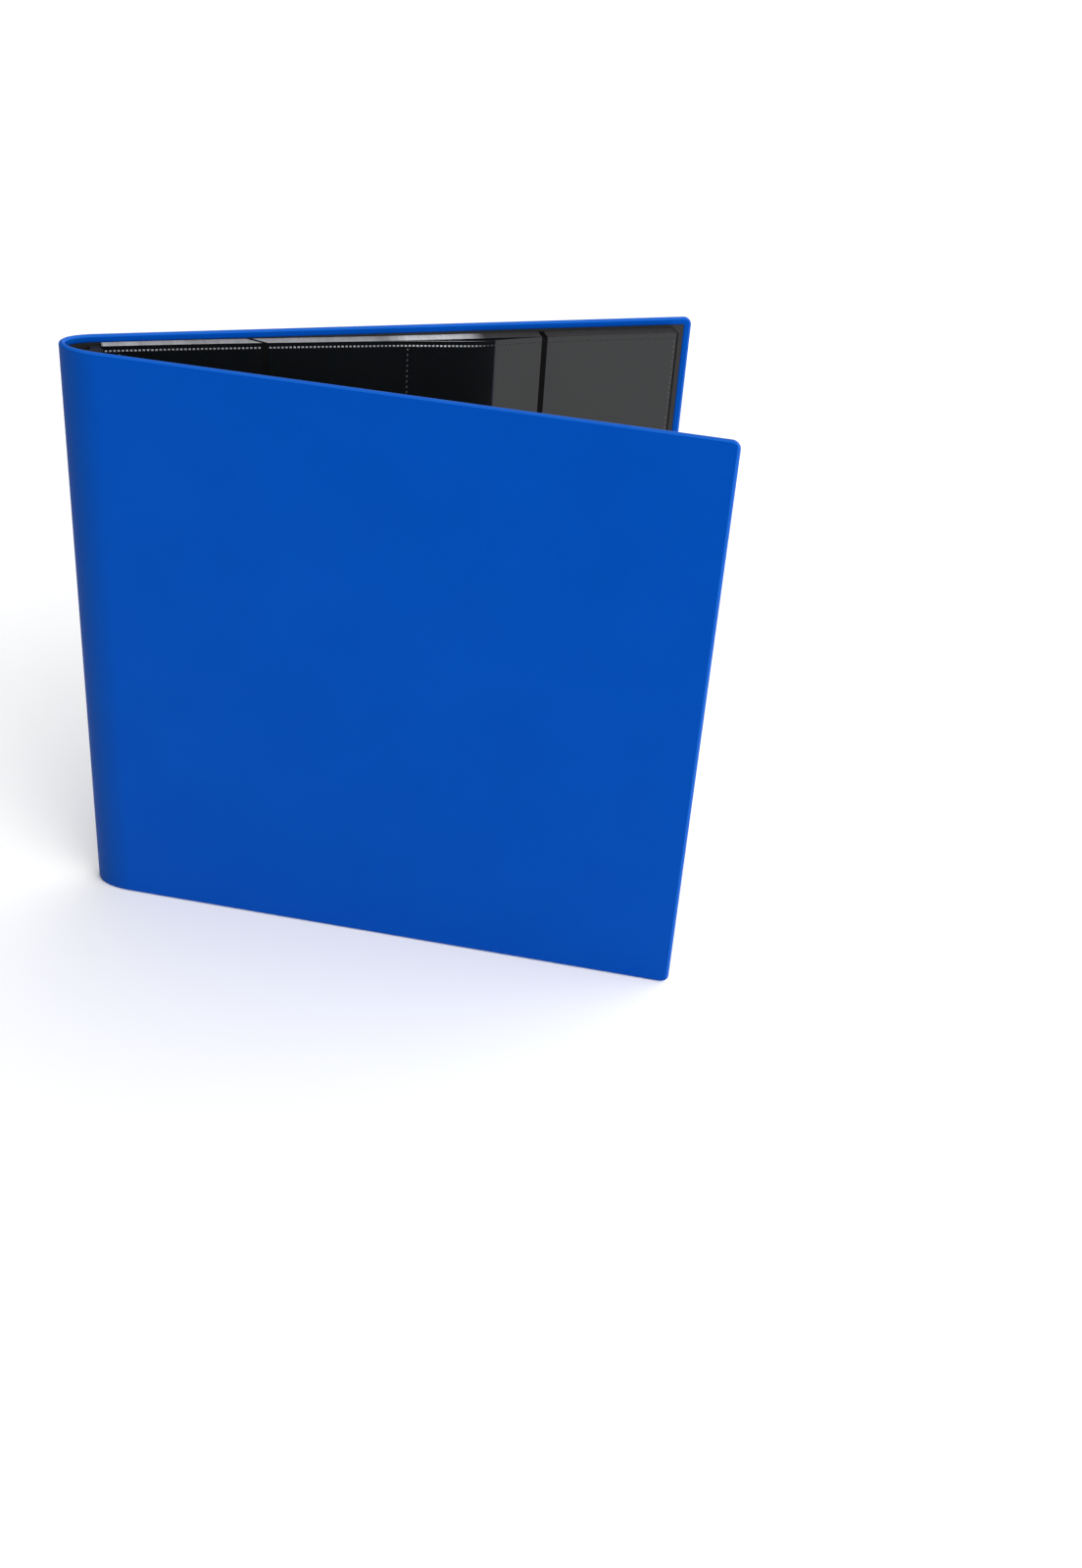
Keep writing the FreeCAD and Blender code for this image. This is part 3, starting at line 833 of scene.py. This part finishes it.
leaves = [Leaf(number) for number in range(1, LEAVES + 1)]
strips = (
    (BLOCK_RIGHT - LEAF_NEAR + 0.2 * MM, POCKET_PITCH - OPENING_HALF),
    (POCKET_PITCH + OPENING_HALF, 3 * POCKET_PITCH - OPENING_HALF),
    (3 * POCKET_PITCH + OPENING_HALF, 4 * POCKET_PITCH),
)
BACKING_START = BLOCK_RIGHT - LEAF_NEAR - 0.5 * MM


def leaf_rows(leaf):
    """The heights of the mesh's rows, close together at the welds."""
    step = 8 * MM if leaf.on_top else 25 * MM
    rows = [LEAF_BOTTOM, LEAF_TOP] + [z + d for z in weld_rows for d in (-0.9 * MM, 0.9 * MM)]
    for low, high in zip(weld_rows, weld_rows[1:]):
        rows += spaced(low + 3 * MM, high - 3 * MM, step)
    return sorted(set(rows))


def leaf_backing(leaf, rows):
    """The black backing. Its top edge outside the openings gets the films' pale edge material with its painted
    highlight.
    """
    gaps = ((strips[0][1] + leaf.shift, strips[1][0] + leaf.shift), (strips[1][1], strips[2][0]))

    def in_gap(distance):
        return any(low < distance < high for low, high in gaps)

    step = 3 * MM if leaf.on_top else 18 * MM
    along = [BACKING_START, 0.0] + spaced(8 * MM, leaf.length - 6 * MM, step) + [leaf.length]
    along = sorted([d for d in along if not in_gap(d)] + [d for gap in gaps for d in gap])
    sheet = Sheet(leaf)
    sheet.slab(along, rows, lambda d, z: -SHEET_HALF, lambda d, z: SHEET_HALF)
    piece = sheet.piece(f"{leaf.name}_backing", leaf.on_top)
    finish_piece(piece, (backing, film_edge))
    # painted highlight on the backing's top edge, outside the openings
    for polygon, face, kind in zip(piece.data.polygons, sheet.faces, sheet.kinds):
        middle = sum(sheet.uvs[i][0] for i in face) / len(face)
        polygon.material_index = int(kind == CUT_EDGE and not in_gap(middle))
    return piece


def weld_studs(sheet, side):
    """The welds' rows of studs on one side: along each strip, and upright between the columns."""
    shown = sheet.leaf.on_top and side > 0
    tall, pitch = (0.20 * MM, 2.0 * MM) if shown else (0.015 * MM, 4.0 * MM)
    base = side * (SHEET_HALF + FILM_THICK - 0.01 * MM)
    for z in weld_rows:
        for left, right in strips:
            for d in spaced(left + 1.2 * MM, right - 1.2 * MM, pitch):
                sheet.stud(d, z, base, side * tall, 0.6 * MM, 0.45 * MM, STUD)
    for column, inset in ((0, 1.2 * MM), (2, 0.0), (4, -1.2 * MM)):
        for z in spaced(LEAF_BOTTOM + 4.5 * MM, LEAF_TOP - 4.5 * MM, 1.4 * pitch):
            at = column * POCKET_PITCH + inset
            sheet.stud(at, z, base, side * tall, 0.35 * MM, 0.55 * MM, UPRIGHT_STUD)


def leaf_films(leaf, rows):
    """Three strips of clear film on each side of the backing, with their welds."""
    step = 2.5 * MM if leaf.on_top else 14 * MM
    sheet = Sheet(leaf)
    for side in (-1, 1):
        def inner(d, z, side=side):
            return side * (SHEET_HALF + pocket_bulge(leaf, d, z, side))

        def outer(d, z, side=side):
            return side * (SHEET_HALF + FILM_THICK + pocket_bulge(leaf, d, z, side))

        for number, (left, right) in enumerate(strips):
            left += leaf.shift if number == 1 else 0
            right += leaf.shift if number == 0 else 0
            along = [left, left + 1.2 * MM, left + 3 * MM]
            along += spaced(left + 6 * MM, right - 6 * MM, step) + [right - 3 * MM, right - 1.2 * MM, right]
            sheet.slab(along, rows, inner, outer)
        weld_studs(sheet, side)
    piece = sheet.piece(f"{leaf.name}_films", True)
    finish_piece(piece, (film, film_edge, row_weld_glint, film_side, column_weld))
    for polygon, kind in zip(piece.data.polygons, sheet.kinds):
        polygon.material_index = kind
        polygon.use_smooth = kind == FACE
    return piece


for leaf in leaves:
    rows = leaf_rows(leaf)
    backing_piece, films_piece = leaf_backing(leaf, rows), leaf_films(leaf, rows)
    for piece in (backing_piece, films_piece):
        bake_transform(piece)
    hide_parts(leaf.name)
    if leaf is leaves[0]:
        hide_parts("page_gutters")

# ---------------------------------------------------------------- elastic strap
STRAP_THICK = 1.0 * MM
SKIN_FACE = skin_high.y     # the outer face of the back cover
# The upper end's middle line in side view, out of the slit, over the hem and down the cover: distance from
# the cover's outer face and height above the slit, in millimetres.
STRAP_LINE = (
    (-0.12, -1.9), (-0.10, 0.0), (0.0, 2.0), (0.22, 4.0), (0.50, 5.8), (0.95, 7.2), (1.62, 7.7), (2.15, 6.9),
    (2.28, 5.2), (2.24, 3.0), (2.12, 0.0), (1.95, -4.0), (1.60, -9.0), (1.20, -16.0), (0.85, -28.0),
    (0.68, -50.0), (0.64, -90.0), (0.64, -145.5),
)
PALE_LINE = (1.2 * MM, 1.6 * MM)     # where the strap's pale line lies, from each edge
STRAP_COLUMN = 3.4 * MM              # the mesh's columns across the strap
TURN_STEPS = 6                       # and its steps round each edge


def ribbon(name, line, left, right, thick, materials):
    """A flat band along a line of (y, z) places, from left to right in x, with rounded edges. The second
    material goes on a line inside each edge."""
    edge = thick / 2
    line_from, line_to = PALE_LINE
    columns = [left + edge, left + line_from, left + line_to]
    columns += spaced(left + 4 * MM, right - 4 * MM, STRAP_COLUMN)
    columns += [right - line_to, right - line_from, right - edge]
    turn = [math.pi * i / TURN_STEPS for i in range(1, TURN_STEPS)]
    outline = [(x, edge) for x in columns]
    outline += [(right - edge + edge * math.sin(a), edge * math.cos(a)) for a in turn]
    outline += [(x, -edge) for x in reversed(columns)]
    outline += [(left + edge - edge * math.sin(a), -edge * math.cos(a)) for a in turn]
    sections, uvs, travelled = [], [], 0.0
    for i, place in enumerate(line):
        before, after = line[max(i - 1, 0)], line[min(i + 1, len(line) - 1)]
        along = (after - before) / np.linalg.norm(after - before)
        normal = np.array([along[1], -along[0]])
        travelled += np.linalg.norm(place - line[i - 1]) if i else 0.0
        sections.append([(x, *(place + normal * off)) for x, off in outline])
        uvs.append([(x, travelled) for x, _ in outline])
    obj = finish_piece(loft(name, sections, uvs), materials)
    for polygon in obj.data.polygons:
        xs = [outline[v % len(outline)][0] for v in polygon.vertices]
        middle = sum(xs) / len(xs)
        near = min(middle - left, right - middle)
        polygon.material_index = int(len(polygon.vertices) == 4 and line_from < near < line_to)
    return obj


strap_run = [np.array([SKIN_FACE + out * MM, upper_slit + up * MM]) for out, up in STRAP_LINE]
strap_run[-1][1] = HEIGHT / 2
upper_line = smooth_line(strap_run, 5)
# a section just before the middle keeps the shading of the band straight up to where the two ends meet
upper_line.insert(-1, upper_line[-1] + np.array([0.0, 0.1 * MM]))
lower_line = [np.array([y, HEIGHT - z]) for y, z in upper_line]
for end, line, sign in (("upper", upper_line, 1), ("lower", lower_line, -1)):
    strap = ribbon(
        f"strap_{end}_half", line, strap_low.x, strap_high.x, STRAP_THICK, (elastic, elastic_line)
    )
    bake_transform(strap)
    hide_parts(f"strap_{end}_end", *(["elastic_strap"] if sign > 0 else []))

# ---------------------------------------------------------------- threads
STITCH_LENGTH = 3.0 * MM
STITCH_PITCH = 4.5 * MM
THREAD_RADIUS = 0.16 * MM
THREAD_SIDES, THREAD_STATIONS = 8, 7
THREAD_TIP = 0.25     # a thread's size at its very ends, and how far they are sunk, in parts of its radius
THREAD_SUNK = 0.9


def threads(name, centres, along, material, push):
    """Short sewn threads with rounded, sunk ends. along is their direction and push points outwards."""
    points, faces, uvs = [], [], []
    along, push = Vector(along), Vector(push)
    other = along.cross(push)
    last = THREAD_STATIONS - 1
    for centre in centres:
        first = len(points)
        for i in range(THREAD_STATIONS):
            t = -1 + 2 * i / last
            size = THREAD_RADIUS * (math.sqrt(1 - abs(t) ** 5) if 0 < i < last else THREAD_TIP)
            reach = t * STITCH_LENGTH / 2
            middle = Vector(centre) + along * reach - push * (THREAD_SUNK * THREAD_RADIUS * t * t)
            for j in range(THREAD_SIDES):
                turn = math.tau * j / THREAD_SIDES
                points.append(middle + (push * math.cos(turn) + other * math.sin(turn)) * size)
                uvs.append((reach, turn * THREAD_RADIUS))
        for i in range(last):
            near, far = first + i * THREAD_SIDES, first + (i + 1) * THREAD_SIDES
            for j in range(THREAD_SIDES):
                k = (j + 1) % THREAD_SIDES
                faces.append((near + j, near + k, far + k, far + j))
        faces.append(tuple(first + j for j in range(THREAD_SIDES)))
        faces.append(tuple(first + last * THREAD_SIDES + j for j in reversed(range(THREAD_SIDES))))
    return finish_piece(new_mesh(name, points, faces, True, uvs), [material])


def stitch_middles(low, high):
    """The middles of a row of stitches between two ends."""
    count = round((high - low - STITCH_LENGTH) / STITCH_PITCH) + 1
    return [low + STITCH_LENGTH / 2 + i * STITCH_PITCH for i in range(count)]


HEM_SUNK = 0.02 * MM
HEM_SHARE = 0.40     # the part of the strap's lift that the skin takes at the stitches
for end, sign in (("upper", 1), ("lower", -1)):
    z = HEIGHT / 2 + sign * (upper_slit - STITCH_DROP - HEIGHT / 2)
    centres = []
    for x in stitch_middles(hem_low.x, hem_high.x):
        lifted = HEM_SHARE * strap_lift(fore_edge - x) * STRAP_LIFT
        centres.append((x, SKIN_FACE - HEM_SUNK + lifted, z))
    hem = threads(f"{end}_hem_thread", centres, (1, 0, 0), blue_thread, (0, 1, 0))
    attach(hem, "back_cover")
    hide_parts(f"{end}_hem_stitches")

sewn_low, sewn_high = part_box("binding_stitches")
sewn_x, sewn_y = (sewn_low.x + sewn_high.x) / 2, sewn_high.y - THREAD_RADIUS
centres = [(sewn_x, sewn_y, z) for z in stitch_middles(sewn_low.z, sewn_high.z)]
sewn = threads("binding_thread", centres, (0, 0, 1), black_thread, (0, -1, 0))
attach(sewn, "spine")
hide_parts("binding_stitches")

# ---------------------------------------------------------------- CAD nodes that stay
for node, material in (
    ("binding_block", fused_plastic), ("binding_tape", tape_cloth), ("strap_inner_run", elastic),
):
    mesh = frame["nodes"][node].data
    mesh.materials.clear()
    mesh.materials.append(material)

# ---------------------------------------------------------------- floor, light and camera
FLOOR_HALF_SIZE = 6.0
FLOOR_DROP = 0.2 * MM     # keeps the floor just below the binder
scene = bpy.context.scene
floor_mesh = bpy.data.meshes.new("floor")
edit = bmesh.new()
bmesh.ops.create_grid(edit, x_segments=2, y_segments=2, size=FLOOR_HALF_SIZE)
edit.to_mesh(floor_mesh)
edit.free()
floor = bpy.data.objects.new("floor", floor_mesh)
scene.collection.objects.link(floor)
floor.location.z = -FLOOR_DROP
floor_paper = plain_grain(
    "floor_paper", (0.90, 0.90, 0.90), (0.93, 0.93, 0.93), roughness=0.9, scale=3.0, depth=0.01 * MM
)
floor_mesh.materials.append(floor_paper)

# A white studio that darkens evenly towards one side, from SKY_STRENGTH to nothing.
DARK_SIDE = (-0.86, 0.50, -0.1)
DARK_FROM, DARK_TO = -0.7, 0.7
SKY_STRENGTH = 2.1
world = bpy.data.worlds.new("studio")
world.use_nodes = True
sky = world.node_tree
direction = sky.nodes.new("ShaderNodeTexCoord")
towards_dark = sky.nodes.new("ShaderNodeVectorMath")
towards_dark.operation = "DOT_PRODUCT"
towards_dark.inputs[1].default_value = DARK_SIDE
sky.links.new(direction.outputs["Generated"], towards_dark.inputs[0])
strength = spread(sky, towards_dark.outputs["Value"], SKY_STRENGTH, 0.0, DARK_FROM, DARK_TO)
sky.links.new(strength, sky.nodes["Background"].inputs["Strength"])
sky.nodes["Background"].inputs["Color"].default_value = (1, 1, 1, 1)
scene.world = world


def area_light(name, place, size, power):
    """A round light that faces the middle of the binder. power is in watts."""
    light = bpy.data.lights.new(name, "AREA")
    light.shape = "DISK"
    light.size = size
    light.energy = power
    obj = bpy.data.objects.new(name, light)
    obj.location = place
    obj.rotation_euler = (Vector(LIT_PLACE) - Vector(place)).to_track_quat("-Z", "Y").to_euler()
    scene.collection.objects.link(obj)


LIT_PLACE = (0.1, 0, 0.15)
area_light("key", place=(0.75, -1.9, 2.0), size=1.5, power=15)
area_light("fill", place=(1.6, -1.8, 1.4), size=1.8, power=5)

CAMERA_PLACE = (-0.0294, -0.8696, 0.6429)
AZIMUTH, ELEVATION, ROLL = (math.radians(a) for a in (-18.12, 33.55, 4.73))
backward = Vector((
    math.sin(AZIMUTH) * math.cos(ELEVATION), -math.cos(AZIMUTH) * math.cos(ELEVATION), math.sin(ELEVATION)
))
level = (-backward).cross(Vector((0, 0, 1))).normalized()
upward = level.cross(-backward)
right_way = level * math.cos(ROLL) + upward * math.sin(ROLL)
up_way = upward * math.cos(ROLL) - level * math.sin(ROLL)
camera_data = bpy.data.cameras.new("camera")
camera_data.lens = 42.70
camera_data.sensor_width = 36.0
camera_data.clip_start = 0.05
camera = bpy.data.objects.new("camera", camera_data)
scene.collection.objects.link(camera)
turn = Matrix((right_way, up_way, backward)).transposed().to_4x4()
camera.matrix_world = Matrix.Translation(Vector(CAMERA_PLACE)) @ turn
scene.camera = camera
scene.view_settings.view_transform = "Standard"
